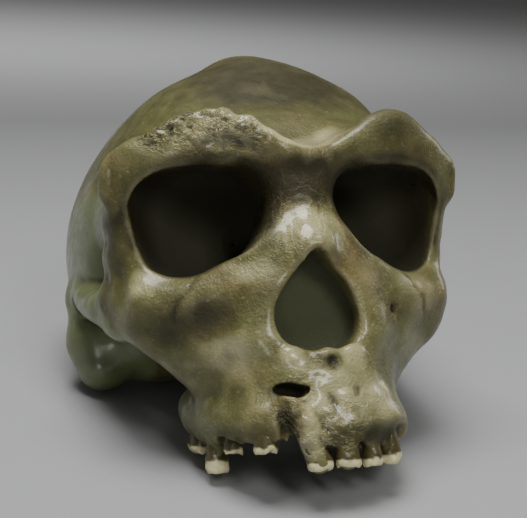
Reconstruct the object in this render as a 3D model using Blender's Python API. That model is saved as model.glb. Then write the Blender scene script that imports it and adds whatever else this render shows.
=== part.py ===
"""Life-size museum cast of an archaic human cranium without its lower jaw.

The shapes are written in millimetres in the skull's own frame: the ear holes and the lower
rims of the orbits are level, +X is the skull's left side, -Y its face and +Z its crown.  The
last step tips the skull back until it lies on its third molars and the back of its head."""
import bmesh
import bpy
import numpy as np
import openvdb
from mathutils import Matrix, Vector

MM = 0.001
SAMPLE_STEP = 2.2          # distance between samples of the shape, mm
SKULL_TRIANGLES = 8600     # triangles kept before the bones are parted
JOINT_WIDTH = 0.3          # gap between two neighbouring bones, mm
TOOTH_SIDES = 10
REST_PITCH = 23.0          # degrees the skull is tipped back to lie on molars and occiput
FLOOR_DEPTH = 42.8         # depth of the floor under the ear holes once it lies, mm
BOX_LOW, BOX_HIGH = (-84, -122, -84), (84, 116, 116)

# Vault: an ellipsoid that is taller above its widest level than below it.
VAULT_CENTRE, VAULT_RADII = (0, 12, 20), (72.6, 93.5, 80)
VAULT_RADIUS_BELOW = 52
VAULT_POWER = 2.18         # above 2 the braincase is fuller than an ellipsoid
VAULT_LEAN = 7.8           # how far the crown leans to the skull's left, mm

# Outline of the orbit seen from the front: radii every 30 degrees from the outer side.
ORBIT_CENTRE = (36.8, 17.2)
ORBIT_RADII = (24.8, 26.2, 22.4, 19.8, 22.0, 25.2, 22.6, 20.2, 17.6, 18.8, 22.8, 24.2)
ORBIT_MOUTH, ORBIT_DEPTH = -75, 40

# Half-width of the nasal opening at heights from its floor to its tip.
NOSE_PROFILE = [(-34, -3), (-32, 7), (-30, 11.6), (-26, 15), (-20, 16), (-14, 14.4), (-8, 10.8),
                (-2, 6), (2.5, 2), (5, -3)]
NOSE_BACK = -86

# Paths of round bars: x, y, z and radius.
BROW_PATH = [(-12, -91, 37, 10.8), (0, -90, 34, 10), (12, -91, 37, 10.8), (25, -89.5, 46, 11.5),
             (37, -86.5, 48, 11.2), (49, -81, 43.2, 10.2), (61.2, -73.4, 34.4, 10.6),
             (60.6, -68, 25, 6.4), (60, -66, 14, 5)]
BROW_EDGE = [(-8, -101, 43.4), (0, -100.4, 42), (8, -101, 43.4), (14, -101, 47), (21, -100.5, 51),
             (29, -99.5, 53.5), (37, -97, 53), (47, -93, 49), (57, -86, 43), (68, -76, 34)]
BROW_FACE = 18             # degrees by which the front of the brow leans back below its edge
SIDE_RIM_PATH = [(59.8, -68, 22, 5.2), (60, -66, 12, 4.8), (58, -68, 2, 5), (54, -70, -10, 7.4)]
SIDE_MIDDLE_PATH = [(61.4, -62, 32, 5.4), (61.8, -60.5, 20, 5.2), (62, -60.5, 6, 5), (61, -62, -8, 6)]
SIDE_PLATE_PATH = [(62, -58, 36, 6), (62.8, -55, 22, 4.6), (63.2, -53, 8, 4.4), (63.8, -53, -6, 5),
                   (62.6, -55, -16, 5.6)]
LOWER_RIM_PATH = [(54, -72, -11, 8), (43, -79, -12, 7.4), (31, -84, -9, 7.4), (20, -87, 2, 6.4),
                  (14.5, -87, 14, 6), (12, -86, 27, 7)]
ARCH_PATH = [(61, -62, -9, 7), (64.6, -50, -8, 5), (65.8, -34, -7.6, 4.6), (67, -18, -6.6, 5),
             (67, -6, -2, 5.8), (64, 4, 1, 6)]
ARCH_LOWER_PATH = [(59, -62, -17, 6.4), (63, -51, -17, 5), (65, -37, -12, 4.2), (66.6, -24, -8, 4)]
KEEL_PATH = [(0, -62, 54, 11), (1, -30, 81, 12.6), (1, 8, 91, 12.2), (0, 44, 84, 11)]
SULCUS_PATH = [(-10, -91, 61.5, 13), (0, -92, 59.4, 14), (10, -91, 61.5, 13), (20, -88, 65.5, 10),
               (32, -82, 67.5, 6.5)]   # the hollow behind the brow
TEMPLE_FILL = ((-55, -38, 26), (11.6, 20, 17))     # the filling: centre and radii
TORUS_PATH = [(0, 101, 6, 6), (18, 97.5, 8, 6), (36, 86, 8, 5.5), (50, 69, 4, 5)]
TOOTH_ROW_PATH = [(0, -99, -56.5, 9), (11.6, -98, -56.5, 9), (22.4, -92, -56.5, 8.8),
                  (29, -78, -56, 8), (31.8, -64, -55, 7.8), (33.4, -51, -50, 8)]
JAW_SHIFT, JAW_DROP = 1.2, 3.2     # the front of the jaw lies this far left, its left this low
JAW_MARGIN = -63           # height of the bone's edge around the teeth

# Paint of the cast, and of the bones that were filled in with plaster.
PAINT, FILLED_PAINT = (0.150, 0.133, 0.066), (0.150, 0.180, 0.105)
FILLED_BONES = ("temporal_right", "sphenoid")

# Teeth: x, y, height of the tip, width, depth.  The skull's left side is positive.
TEETH = {
    "left_central_incisor": (6.2, -103.8, -74.2, 8.8, 7.5),
    "left_lateral_incisor": (16, -102, -74.4, 6.4, 7.2),
    "left_canine": (24.8, -96.6, -73.8, 7.4, 8.8),
    "left_first_premolar": (27.6, -89, -72.6, 7.2, 9.2),
    "left_second_premolar": (29.8, -81.6, -72.4, 7.0, 9.4),
    "left_first_molar": (31.8, -73, -72.2, 10.8, 11.8),
    "left_second_molar": (33, -61.5, -70.2, 10.6, 12),
    "left_third_molar": (33, -50.8, -66.7, 9.4, 11),
    "right_central_incisor": (-4.2, -103.8, -74.6, 9.2, 7.5),
    "right_canine": (-21.6, -98.4, -67, 8.4, 8.6),
    "right_first_premolar": (-29.4, -84, -67.4, 6.2, 6.6),
    "right_first_molar": (-33, -74, -73.6, 9.2, 10),
    "right_second_molar": (-35, -61.5, -66.9, 8.6, 10),
    "right_third_molar": (-33, -50.8, -66.7, 9.4, 11),
}


def blend(a, b, width):
    """Union of two shapes, rounded where they meet over the given width."""
    h = np.maximum(width - np.abs(a - b), 0) / width
    return np.minimum(a, b) - h * h * width * 0.25


def carve(a, b, width):
    """Shape a less shape b, with the edge rounded over the given width."""
    return -blend(-a, b, width)


def egg(p, centre, radii, lean=0, power=2):
    """Ellipsoid, turned by lean degrees in the frontal plane; above 2 the power squares it."""
    x, y, z = (p[i] - centre[i] for i in range(3))
    s, c = np.sin(np.radians(lean)), np.cos(np.radians(lean))
    parts = [np.abs(v) / r + 1e-6 for v, r in zip((c * x + s * z, y, c * z - s * x), radii)]
    size = sum(v ** power for v in parts) ** (1 / power)
    slope = sum(((v / size) ** (power - 1) / r) ** 2 for v, r in zip(parts, radii)) ** 0.5
    return (size - 1) / slope


def bars(p, path, width=4.0):
    """Chain of tapered round bars through points given as x, y, z and radius."""
    shape = None
    for start, end in zip(path[:-1], path[1:]):
        step = [end[i] - start[i] for i in range(3)]
        along = sum((p[i] - start[i]) * step[i] for i in range(3)) / sum(s * s for s in step)
        along = np.clip(along, 0, 1)
        away = np.sqrt(sum((p[i] - start[i] - along * step[i]) ** 2 for i in range(3)))
        bar = away - start[3] - along * (end[3] - start[3])
        shape = bar if shape is None else blend(shape, bar, width)
    return shape


def curve(points, count):
    """Smooth curve of count points through the given points."""
    p = np.array(points, float)
    p = np.vstack([2 * p[0] - p[1], p, 2 * p[-1] - p[-2]])
    place = np.linspace(0, len(points) - 1 - 1e-6, count)
    i = place.astype(int)
    t = (place - i)[:, None]
    a, b, c, d = p[i], p[i + 1], p[i + 2], p[i + 3]
    return 0.5 * (2 * b + (c - a) * t + (2 * a - 5 * b + 4 * c - d) * t ** 2
                  + (3 * b - a - 3 * c + d) * t ** 3)


def ease(value, start, end):
    """Rises smoothly from 0 at start to 1 at end."""
    t = np.clip((value - start) / (end - start), 0, 1)
    return t * t * (3 - 2 * t)


def vault(p):
    """Braincase with the torus across the back and the flat area for the neck muscles."""
    x, y, z = p
    cx, cy, cz = VAULT_CENTRE
    rx, ry, rz = VAULT_RADII
    below = VAULT_RADIUS_BELOW / rz
    height = np.where(z > cz, z - cz, (z - cz) / below)
    shape = egg((x, y, height), (cx, cy, 0), (rx, ry, rz), power=VAULT_POWER)
    shape = blend(shape, bars(p, KEEL_PATH, 8), 18)
    shape = blend(shape, bars(p, curve(TORUS_PATH, 7), 5), 8)
    shape = blend(shape, egg(p, (26, -28, 6), (21, 26, 26)), 12)
    shape = carve(shape, egg(p, (66, -42, -6), (19, 24, 24)), 10)
    shape = blend(shape, egg(p, (26, 44, -12), (24, 30, 17)), 10)
    shape = carve(shape, (y + 34) * 0.69 - (z - 94) * 0.72, 14)
    shape = carve(shape, (66 - y) * 0.75 + (90 - z) * 0.66, 16)
    return carve(shape, (z + 8) * 0.95 + (96 - y) * 0.31, 8)


def base(p):
    """Underside: condyles, mastoids, jaw sockets and the plates behind the palate."""
    shape = bars(p, [(0, 4, -18, 8), (0, -26, -10, 12), (0, -48, -8, 13)], 8)
    shape = blend(shape, egg(p, (36, 12, -19), (25, 26, 19.6)), 8)
    shape = blend(shape, egg(p, (17, 4, -25), (8, 13, 8)), 6)
    shape = blend(shape, bars(p, [(60.4, 17, -2, 13), (60.8, 12, -19, 13.8), (60, 10, -29, 11.8)]), 7)
    shape = blend(shape, bars(p, [(67, 2, 0, 6.4), (66, 16, 1, 6), (62, 34, 8, 6)]), 6)
    shape = blend(shape, bars(p, [(58, -3, -6, 7), (36, -6, -15, 7)]), 4)
    shape = blend(shape, bars(p, [(62, -16, -6, 6), (42, -22, -10, 7)]), 5)
    shape = carve(shape, egg(p, (50, -10, -14), (12, 6, 6)), 3)
    shape = blend(shape, bars(p, [(15, -44, -10, 7), (16, -47, -30, 4.6), (18, -49, -46, 5)]), 5)
    return blend(shape, bars(p, [(18, -42, -12, 6), (25, -39, -30, 3.6), (27, -40, -42, 3.6)]), 5)


def face(p):
    """Cheeks, nose and upper jaw before the orbits and the nose are opened."""
    shape = bars(p, curve(SIDE_RIM_PATH, 6), 4)
    plate = blend(bars(p, SIDE_MIDDLE_PATH, 4), bars(p, SIDE_PLATE_PATH, 4), 4)
    shape = blend(shape, plate, 4)
    shape = blend(shape, bars(p, curve(LOWER_RIM_PATH, 9), 4), 6)
    shape = blend(shape, bars(p, [(0, -87, 28, 9), (0, -91, 16, 7), (0, -101, 3.5, 6.2)]), 7)
    shape = blend(shape, bars(p, [(3, -97, 6, 6.5), (12, -94, -10, 6.5), (17, -92, -26, 8)]), 6)
    shape = blend(shape, bars(p, [(8, -85, 26, 8), (13, -90, 8, 7), (19, -91, -10, 7),
                                  (21, -91, -26, 8)]), 6)
    shape = blend(shape, bars(p, [(37, -64, 13, 23), (24, -46, 12, 16)]), 6)
    shape = blend(shape, egg(p, (0, -62, 14), (26, 26, 26)), 8)
    shape = blend(shape, egg(p, (0, -70, -7), (19, 20, 33), power=4), 6)
    shape = blend(shape, egg(p, (47, -70, -16), (15, 9, 15), 32), 7)
    shape = blend(shape, bars(p, [(55, -64, -21, 6), (41, -68, -31, 7.6), (31, -71, -44, 7)]), 8)
    shape = blend(shape, egg(p, (22, -72, -20), (25, 21, 26)), 8)
    shape = blend(shape, egg(p, (0, -85, -44), (28, 23, 20)), 10)
    shape = blend(shape, egg(p, (20, -66, -44), (15, 27, 18)), 8)
    return blend(shape, bars(p, curve(TOOTH_ROW_PATH, 11), 5), 5)


def brow(p):
    """Heavy brow ridge over both orbits; its front leans back below its upper edge."""
    x, y, z = p
    shape = bars(p, curve(BROW_PATH, 16), 3)
    shape = blend(shape, egg(p, (0, -72, 30), (52, 17, 20)), 8)
    edge = curve(BROW_EDGE, 40)
    edge_y, edge_z = (np.interp(x, edge[:, 0], edge[:, i]) for i in (1, 2))
    lean = np.radians(BROW_FACE)
    return carve(shape, (y - edge_y) * np.cos(lean) + (z - edge_z) * np.sin(lean), 4)


def ring(radii, count=72):
    """Smooth closed outline: count radii from a few that are evenly spaced round a turn."""
    return np.fft.irfft(np.fft.rfft(radii), count) * count / len(radii)


def orbit(p):
    """Eye socket: its outline narrows backwards and towards the middle."""
    x, y, z = p
    deep = np.maximum(y - ORBIT_MOUTH, 0)
    size = np.sqrt(np.maximum(1 - (deep / ORBIT_DEPTH) ** 2.2, 0.001))
    u = x - ORBIT_CENTRE[0] + 0.62 * deep
    v = z - ORBIT_CENTRE[1] + 0.05 * deep
    outline = ring(ORBIT_RADII)
    turns = np.arange(len(outline)) * 360 / len(outline)
    radius = np.interp(np.degrees(np.arctan2(v, u)) % 360, turns, outline, period=360)
    return (np.hypot(u, v) - radius * size) * 0.9


def nose_opening(p):
    """Nasal aperture: pointed above, broad below, closed at the back."""
    x, y, z = p
    edge = curve(NOSE_PROFILE, 40)
    half_width = np.interp(z, edge[:, 0], edge[:, 1])
    return carve((x - half_width) * 0.75, NOSE_BACK - y, 6)


def hollows(p):
    """Openings of the underside: palate, throat side of the nose, spinal and ear openings."""
    return [(egg(p, (0, -66, -66), (22, 30, 19)), 3),
            (bars(p, [(7.5, -36, -24, 6), (7.5, -50, -27, 6.5)]), 3),
            (egg(p, (0, 24, -27), (14.5, 19, 15)), 3),
            (bars(p, [(84, 3, -3, 4), (52, 1, -5, 3.4)]), 1.5)]


def skull(x, y, z):
    """Signed distance, in millimetres, to the whole skull without its teeth."""
    leaning = x - VAULT_LEAN * ease(z, 20, 95) * ease(y, -85, -35)
    shift = JAW_SHIFT * ease(-y, 78, 96) * ease(-z, 15, 45)
    drop = JAW_DROP * ease(x, -12, 2) * ease(-y, 60, 80) * ease(-z, 36, 58)
    p = (np.abs(x - shift), y, z + drop)
    shape = vault((np.abs(leaning), y, z))
    shape = blend(shape, base(p), 6)
    behind_brow = 7 + 17 * ease(z, 32, 46) * ease(58 - p[0], 0, 22)
    shape = blend(shape, blend(face(p), brow(p), 5), behind_brow)
    arch = blend(bars(p, curve(ARCH_PATH, 9)), bars(p, curve(ARCH_LOWER_PATH, 6)), 6)
    shape = blend(shape, arch, 5)
    shape = carve(shape, bars(p, curve(SULCUS_PATH, 9), 3), 12)
    shape = blend(shape, egg((x, y, z), *TEMPLE_FILL), 4)
    soft_side = ease(30 - p[0], 0, 14) * ease(z, 6, 20)
    shape = carve(shape, orbit(p), 2 + 8 * soft_side)
    shape = carve(shape, nose_opening(p), 2)
    for hollow, width in hollows(p):
        shape = carve(shape, hollow, width)
    shape = carve(shape, z + drop - JAW_MARGIN, 2)
    pitch = np.radians(REST_PITCH)
    return carve(shape, z * np.cos(pitch) - y * np.sin(pitch) + FLOOR_DEPTH, 0.5)


def sampled(step):
    """Samples of the skull on a grid; only the samples near the surface are exact."""
    low, block = np.array(BOX_LOW, float), 4
    count = np.ceil((np.array(BOX_HIGH) - low) / (step * block)).astype(int)
    axes = [low[i] + step * (block * np.arange(count[i]) + (block - 1) / 2) for i in range(3)]
    rough = skull(*np.meshgrid(*axes, indexing="ij"))
    values = rough.repeat(block, 0).repeat(block, 1).repeat(block, 2)
    inner = np.stack(np.meshgrid(*[np.arange(block)] * 3, indexing="ij"), -1).reshape(-1, 3)
    near = np.argwhere(np.abs(rough) < step * block * 1.5)
    index = (near[:, None] * block + inner).reshape(-1, 3)
    values[tuple(index.T)] = skull(*(low + index * step).T)
    return values


def mesh_object(name, points, faces):
    """Object with a mesh of the given points, in millimetres, and faces."""
    mesh = bpy.data.meshes.new(name)
    mesh.from_pydata(np.asarray(points).tolist(), [], faces)
    thing = bpy.data.objects.new(name, mesh)
    bpy.context.scene.collection.objects.link(thing)
    return thing


def whole_skull():
    """The skull as one closed mesh with about SKULL_TRIANGLES triangles."""
    grid = openvdb.FloatGrid(50.0)
    grid.copyFromArray(sampled(SAMPLE_STEP).astype(np.float32))
    points, triangles, quads = grid.convertToPolygons(0.0, 0.0)
    faces = quads.tolist() + triangles.tolist()
    thing = mesh_object("skull", points * SAMPLE_STEP + np.array(BOX_LOW), faces)
    thin = thing.modifiers.new("thin", "DECIMATE")
    thin.ratio = SKULL_TRIANGLES / (2 * len(quads) + len(triangles))
    settle(thing)
    return thing


def settle(thing):
    """Applies the modifiers of an object."""
    graph = bpy.context.evaluated_depsgraph_get()
    thing.data = bpy.data.meshes.new_from_object(thing.evaluated_get(graph))
    thing.modifiers.clear()


def clear_scene():
    for thing in list(bpy.data.objects):
        bpy.data.objects.remove(thing)


def half_space(point, normal):
    """Plane through a point; a bone keeps what lies against its normal."""
    return Vector(point), Vector(normal).normalized()


def block(planes, grow):
    """Large box cut down by planes that are first moved outwards by grow."""
    cutter = bmesh.new()
    bmesh.ops.create_cube(cutter, size=300)
    for point, normal in planes:
        everything = cutter.verts[:] + cutter.edges[:] + cutter.faces[:]
        cut = bmesh.ops.bisect_plane(cutter, geom=everything, plane_co=point + normal * grow,
                                     plane_no=normal, clear_outer=True)["geom_cut"]
        edges = [e for e in cut if isinstance(e, bmesh.types.BMEdge)]
        bmesh.ops.contextual_create(cutter, geom=edges)
    bmesh.ops.recalc_face_normals(cutter, faces=cutter.faces)
    thing = mesh_object("cutter", [], [])
    cutter.to_mesh(thing.data)
    cutter.free()
    return thing


def combine(thing, other, operation):
    """Changes an object by a Boolean with another, which is used up."""
    step = thing.modifiers.new("combine", "BOOLEAN")
    step.operation, step.object, step.solver = operation, other, "MANIFOLD"
    settle(thing)
    bpy.data.objects.remove(other)


def keep_largest(thing):
    """Keeps the largest closed surface of an object."""
    mesh = bmesh.new()
    mesh.from_mesh(thing.data)
    islands, left = [], set(mesh.verts)
    while left:
        island, edge = set(), [left.pop()]
        while edge:
            vert = edge.pop()
            island.add(vert)
            fresh = {e.other_vert(vert) for e in vert.link_edges} & left
            left -= fresh
            edge.extend(fresh)
        islands.append(island)
    largest = max(islands, key=len)
    bmesh.ops.delete(mesh, geom=[v for v in mesh.verts if v not in largest], context="VERTS")
    mesh.to_mesh(thing.data)
    mesh.free()


def mirrored(planes):
    return [half_space((-p.x, p.y, p.z), (-n.x, n.y, n.z)) for p, n in planes]


def bone_regions():
    """Planes of the sutures, bone by bone; each bone is taken out of what is left."""
    cheek_suture = half_space((30, 0, -2), (0.925, 0, 0.38))
    crown_suture = half_space((0, -2, 100), (0, 0.894, -0.447))
    zygomatic = [half_space((0, -43, 0), (0, 1, 0)), half_space((0, 0, 14), (0, 0, 1)),
                 half_space((30, -90, 0), (-0.902, 0.431, 0))]
    temporal = [half_space((34, 0, 0), (-1, 0, 0)), half_space((0, -43, 0), (0, -1, 0)),
                half_space((0, -30, 26), (0, -0.72, 0.7)), half_space((0, -4, 38), (0, -0.1, 1)),
                half_space((0, 24, 32), (0, 0.5, 0.86)), half_space((0, 46, 6), (0, 1, 0.1))]
    parietal = [half_space((0, 0, 0), (-1, 0, 0)), half_space((0, 0, 10), (0, 0, -1)),
                half_space((0, -2, 100), (0, -0.894, 0.447)),
                half_space((0, 92, 52), (0, 0.707, -0.707))]
    return [("maxilla", [half_space((0, -44, 0), (0, 1, 0)), half_space((0, 0, 26), (0, 0, 1)),
                         cheek_suture] + mirrored([cheek_suture])),
            ("zygomatic_left", zygomatic), ("zygomatic_right", mirrored(zygomatic)),
            ("frontal", [crown_suture, half_space((0, 0, 14), (0, 0, -1))]),
            ("temporal_left", temporal), ("temporal_right", mirrored(temporal)),
            ("parietal_left", parietal), ("parietal_right", mirrored(parietal)),
            ("occipital", [half_space((0, -20, 0), (0, -1, 0))])]


def copy_of(thing, name):
    twin = bpy.data.objects.new(name, thing.data.copy())
    bpy.context.scene.collection.objects.link(twin)
    return twin


def parted(whole):
    """Parts the skull into its bones with thin gaps; what is left at the end is the sphenoid."""
    bones = []
    for name, planes in bone_regions():
        piece = copy_of(whole, name)
        combine(piece, block(planes, -JOINT_WIDTH / 2), "INTERSECT")
        combine(whole, block(planes, JOINT_WIDTH / 2), "DIFFERENCE")
        bones.append(piece)
    whole.name = "sphenoid"
    bones.append(whole)
    for bone in bones:
        keep_largest(bone)
    return bones


def tooth(name, x, y, tip, width, depth):
    """Tooth standing in the tooth row: a closed stack of rounded, four-sided rings."""
    row = curve(TOOTH_ROW_PATH, 60)[:, :2]
    near = np.clip(np.argmin(np.hypot(row[:, 0] - abs(x), row[:, 1] - y)), 1, 58)
    along = (row[near + 1] - row[near - 1]) * (np.sign(x), 1)
    turn = np.arctan2(along[1], along[0])
    levels = [(-54, 0.5), (-62, 0.8), ((tip - 62) / 2 - 1, 0.97), (tip + 1.5, 1.0), (tip, 0.72)]
    around = np.arange(TOOTH_SIDES) * 2 * np.pi / TOOTH_SIDES
    u = np.sign(np.cos(around)) * np.abs(np.cos(around)) ** 0.75 * width / 2
    v = np.sign(np.sin(around)) * np.abs(np.sin(around)) ** 0.75 * depth / 2
    points = [(x + s * (a * np.cos(turn) - b * np.sin(turn)),
               y + s * (a * np.sin(turn) + b * np.cos(turn)), z)
              for z, s in levels for a, b in zip(u, v)]
    n = TOOTH_SIDES
    faces = [[n * i + j, n * i + (j + 1) % n, n * (i + 1) + (j + 1) % n, n * (i + 1) + j]
             for i in range(len(levels) - 1) for j in range(n)]
    faces += [list(range(n))[::-1], list(range(n * (len(levels) - 1), n * len(levels)))]
    return mesh_object(name, points, [face[::-1] for face in faces])


def lay_down(bones):
    """Tips the skull back onto its resting points, centres it and turns it into metres."""
    tip = Matrix.Rotation(np.radians(-REST_PITCH), 4, "X")
    for bone in bones:
        bone.data.transform(tip)
    corners = np.vstack([[v.co for v in bone.data.vertices] for bone in bones])
    low, high = corners.min(0), corners.max(0)
    shift = Matrix.Translation((-(low[0] + high[0]) / 2, -(low[1] + high[1]) / 2, -low[2]))
    for bone in bones:
        bone.data.transform(Matrix.Diagonal((MM, MM, MM, 1)) @ shift)


def paint(bone):
    """Gives a bone a glossy painted surface of its own."""
    coat = bpy.data.materials.new(bone.name + "_paint")
    coat.use_nodes = True
    shader = coat.node_tree.nodes["Principled BSDF"]
    colour = FILLED_PAINT if bone.name in FILLED_BONES else PAINT
    shader.inputs["Base Color"].default_value = (*colour, 1)
    shader.inputs["Roughness"].default_value = 0.34
    bone.data.materials.clear()
    bone.data.materials.append(coat)


clear_scene()
bones = parted(whole_skull())
maxilla = bones[0]
for name, sizes in TEETH.items():
    combine(maxilla, tooth(name, *sizes), "UNION")
keep_largest(maxilla)
for bone in bones:
    paint(bone)
lay_down(bones)
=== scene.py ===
"""Museum cast of an archaic human cranium, in full detail, on a pale studio floor.

The shapes are written in millimetres in the skull's own frame: the ear holes and the lower
rims of the orbits are level, +X is the skull's left side, -Y its face and +Z its crown.  At
the end they are tipped back onto the third molars and the back of the head, as the part lies."""

import bmesh
import bpy
import numpy as np
import openvdb
from mathutils import Matrix, Vector


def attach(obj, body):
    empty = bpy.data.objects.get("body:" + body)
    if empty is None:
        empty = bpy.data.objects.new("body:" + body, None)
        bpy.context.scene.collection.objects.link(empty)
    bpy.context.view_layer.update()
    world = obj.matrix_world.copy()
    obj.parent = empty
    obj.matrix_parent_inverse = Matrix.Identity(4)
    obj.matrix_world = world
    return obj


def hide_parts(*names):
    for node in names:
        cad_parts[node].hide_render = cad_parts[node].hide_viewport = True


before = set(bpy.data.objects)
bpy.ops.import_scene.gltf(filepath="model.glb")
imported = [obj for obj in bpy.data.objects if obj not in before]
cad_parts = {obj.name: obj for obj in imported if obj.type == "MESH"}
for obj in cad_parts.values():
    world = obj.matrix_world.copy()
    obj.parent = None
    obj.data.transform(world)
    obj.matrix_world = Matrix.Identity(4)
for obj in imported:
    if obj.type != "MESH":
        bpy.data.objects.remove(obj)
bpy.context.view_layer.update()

MM = 0.001
SAMPLE_STEP = 0.9    # distance between samples of the shape, mm
MOST_TRIANGLES = 190000                     # kept in the cranium after thinning
REST_PITCH = 23.0          # degrees the skull is tipped back to lie on molars and occiput
REST_SHIFT = (-0.0395, 9.3527, 42.8618)    # then moved by this, mm
FLOOR_DEPTH = 42.8         # depth of the floor under the ear holes once it lies, mm
BOX_LOW, BOX_HIGH = (-84, -122, -84), (84, 116, 116)

# Camera, in the skull's frame: focal length in pixels, angles in degrees, lengths in mm.
PICTURE = (527, 518)
FOCAL = 1147
CAMERA_YAW, CAMERA_PITCH, CAMERA_ROLL = -17.6, -7.5, -3.6
CAMERA_TARGET, CAMERA_DISTANCE = (0, -60, 10), 450
PICTURE_CENTRE = (279.5, 247.5)

# Studio, in metres in the part's frame: floor, and lights as name, place, size, watts and target.
SKULL_MIDDLE = (0, 0, 0.07)
FLOOR_SIZE, FLOOR_GAP = 40, 0.0005
LIGHTS = [("light_above", (-0.12, -0.05, 1.15), 0.6, 17),
          ("light_front", (0.12, -1.0, 0.85), 0.35, 5.5),
          ("light_right", (1.2, 0.4, 0.35), 0.4, 1.6),
          ("light_low", (-1.0, -1.9, 0.27), 0.4, 3.6),
          ("light_left", (-2.0, 1.6, 0.45), 0.35, 0.7),
          ("light_floor", (0, 1.3, 1.3), 1.0, 34, (0, 4.5, 0))]
LIGHT_TINT = (1, 0.98, 0.91)
SURROUND_TINT, SURROUND_STRENGTH = (0.84, 0.82, 0.76, 1), 0.13

# Vault: an ellipsoid that is taller above its widest level than below it.
VAULT_CENTRE, VAULT_RADII = (0, 12, 20), (72.6, 93.5, 80)
VAULT_RADIUS_BELOW = 52
VAULT_POWER = 2.18         # above 2 the braincase is fuller than an ellipsoid
VAULT_LEAN = 7.8           # how far the crown leans to the skull's left, mm

# Outline of the orbit seen from the front: radii every 30 degrees from the outer side.
ORBIT_CENTRE = (36.8, 17.2)
ORBIT_RADII = (24.8, 26.2, 22.4, 19.8, 22.0, 25.2, 22.6, 20.2, 17.6, 18.8, 22.8, 24.2)
ORBIT_MOUTH, ORBIT_DEPTH = -75, 40

# Half-width of the nasal opening at heights from its floor to its tip.
NOSE_PROFILE = [(-34, -3), (-32, 7), (-30, 11.6), (-26, 15), (-20, 16), (-14, 14.4), (-8, 10.8),
                (-2, 6), (2.5, 2), (5, -3)]
NOSE_BACK = -86

# Paths of round bars: x, y, z and radius.
BROW_PATH = [(-12, -91, 37, 10.8), (0, -90, 34, 10), (12, -91, 37, 10.8), (25, -89.5, 46, 11.5),
             (37, -86.5, 48, 11.2), (49, -81, 43.2, 10.2), (61.2, -73.4, 34.4, 10.6),
             (60.6, -68, 25, 6.4), (60, -66, 14, 5)]
BROW_EDGE = [(-8, -101, 43.4), (0, -100.4, 42), (8, -101, 43.4), (14, -101, 47), (21, -100.5, 51),
             (29, -99.5, 53.5), (37, -97, 53), (47, -93, 49), (57, -86, 43), (68, -76, 34)]
BROW_FACE = 18             # degrees by which the front of the brow leans back below its edge
SIDE_RIM_PATH = [(59.8, -68, 22, 5.2), (60, -66, 12, 4.8), (58, -68, 2, 5), (54, -70, -10, 7.4)]
SIDE_MIDDLE_PATH = [(61.4, -62, 32, 5.4), (61.8, -60.5, 20, 5.2), (62, -60.5, 6, 5), (61, -62, -8, 6)]
SIDE_PLATE_PATH = [(62, -58, 36, 6), (62.8, -55, 22, 4.6), (63.2, -53, 8, 4.4), (63.8, -53, -6, 5),
                   (62.6, -55, -16, 5.6)]
LOWER_RIM_PATH = [(54, -72, -11, 8), (43, -79, -12, 7.4), (31, -84, -9, 7.4), (20, -87, 2, 6.4),
                  (14.5, -87, 14, 6), (12, -86, 27, 7)]
ARCH_PATH = [(61, -62, -9, 7), (64.6, -50, -8, 5), (65.8, -34, -7.6, 4.6), (67, -18, -6.6, 5),
             (67, -6, -2, 5.8), (64, 4, 1, 6)]
ARCH_LOWER_PATH = [(59, -62, -17, 6.4), (63, -51, -17, 5), (65, -37, -12, 4.2), (66.6, -24, -8, 4)]
KEEL_PATH = [(0, -62, 54, 11), (1, -30, 81, 12.6), (1, 8, 91, 12.2), (0, 44, 84, 11)]
SULCUS_PATH = [(-10, -91, 61.5, 13), (0, -92, 59.4, 14), (10, -91, 61.5, 13), (20, -88, 65.5, 10),
               (32, -82, 67.5, 6.5)]   # the hollow behind the brow
TEMPLE_FILL = ((-55, -38, 26), (11.6, 20, 17))     # the filling: centre and radii
TORUS_PATH = [(0, 101, 6, 6), (18, 97.5, 8, 6), (36, 86, 8, 5.5), (50, 69, 4, 5)]
TOOTH_ROW_PATH = [(0, -99, -56.5, 9), (11.6, -98, -56.5, 9), (22.4, -92, -56.5, 8.8),
                  (29, -78, -56, 8), (31.8, -64, -55, 7.8), (33.4, -51, -50, 8)]
JAW_SHIFT, JAW_DROP = 1.2, 3.2     # the front of the jaw lies this far left, its left this low
JAW_MARGIN = -63           # height of the bone's edge around the teeth

# Teeth: x, y, height of the tip, width, depth.  The skull's left side is positive.
TEETH = {
    "left_central_incisor": (6.2, -103.8, -74.2, 8.8, 7.5),
    "left_lateral_incisor": (16, -102, -74.4, 6.4, 7.2),
    "left_canine": (24.8, -96.6, -73.8, 7.4, 8.8),
    "left_first_premolar": (27.6, -89, -72.6, 7.2, 9.2),
    "left_second_premolar": (29.8, -81.6, -72.4, 7.0, 9.4),
    "left_first_molar": (31.8, -73, -72.2, 10.8, 11.8),
    "left_second_molar": (33, -61.5, -70.2, 10.6, 12),
    "left_third_molar": (33, -50.8, -66.7, 9.4, 11),
    "right_central_incisor": (-4.2, -103.8, -74.6, 9.2, 7.5),
    "right_canine": (-21.6, -98.4, -67, 8.4, 8.6),
    "right_first_premolar": (-29.4, -84, -67.4, 6.2, 6.6),
    "right_first_molar": (-33.4, -74, -73.6, 7.6, 8.4),
    "right_second_molar": (-35, -61.5, -66.9, 8.6, 10),
    "right_third_molar": (-33, -50.8, -66.7, 9.4, 11),
}

# Sharp inner part of the right brow's upper edge: x, y, z and radius.
BROW_CREST = [(7, -96.4, 38.4, 2.4), (0, -96.4, 38.2, 3), (-7, -97, 40.4, 3.2),
              (-14, -97, 44.4, 3.4), (-21, -96.6, 48.4, 3.6), (-29, -95, 50.4, 3.6),
              (-36, -93, 48, 3)]
# Nasal bones: y and z where their ridge starts, their lower end, and how fast the ridge stands out.
NASAL_RIDGE_TOP, NASAL_ROOT, NASAL_END = -98.4, 24, 4.5
NASAL_SLOPE = 0.42
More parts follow.
